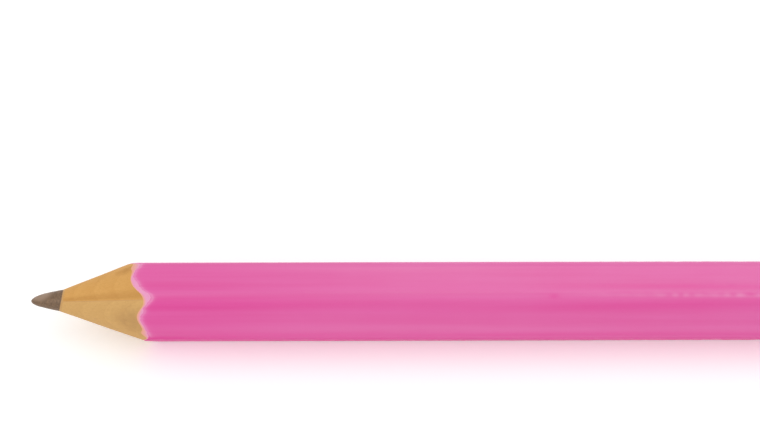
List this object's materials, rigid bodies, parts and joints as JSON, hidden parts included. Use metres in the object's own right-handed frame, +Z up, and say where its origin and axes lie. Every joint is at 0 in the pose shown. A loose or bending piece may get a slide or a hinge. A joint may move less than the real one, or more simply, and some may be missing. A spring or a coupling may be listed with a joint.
{
  "type": "hexagonal pencil",
  "caption": "Short hexagonal wood-cased graphite pencil, lacquered pink, sharpened to a point at one end and dipped in lacquer at the other.",
  "frame": {"origin": "on the surface the pencil lies on, under the middle of its length and width", "axes": "+X along the pencil from the writing point to the dipped end, +Z up from the flat it lies on, +Y across the width"},
  "size_m": [0.0754, 0.008, 0.0072],
  "materials": {
    "graphite": "satin",
    "wood_glue": "matte",
    "slat_wood_golden": "matte",
    "slat_wood_pale": "matte",
    "white_primer": "matte",
    "pink_lacquer": "gloss",
    "clear_gloss_varnish": "gloss",
    "pink_dip_lacquer": "gloss"
  },
  "bodies": {
    "root": {"graphite_core": "graphite", "core_glue_sleeve": "wood_glue", "slat_glue_line": "wood_glue", "casing_slat_upper": "slat_wood_golden", "casing_slat_lower": "slat_wood_pale", "primer_coat": "white_primer", "colour_coat": "pink_lacquer", "clear_varnish": "clear_gloss_varnish", "end_ground_coat": "white_primer", "end_dip_cap": "pink_dip_lacquer"}
  },
  "joints": []
}
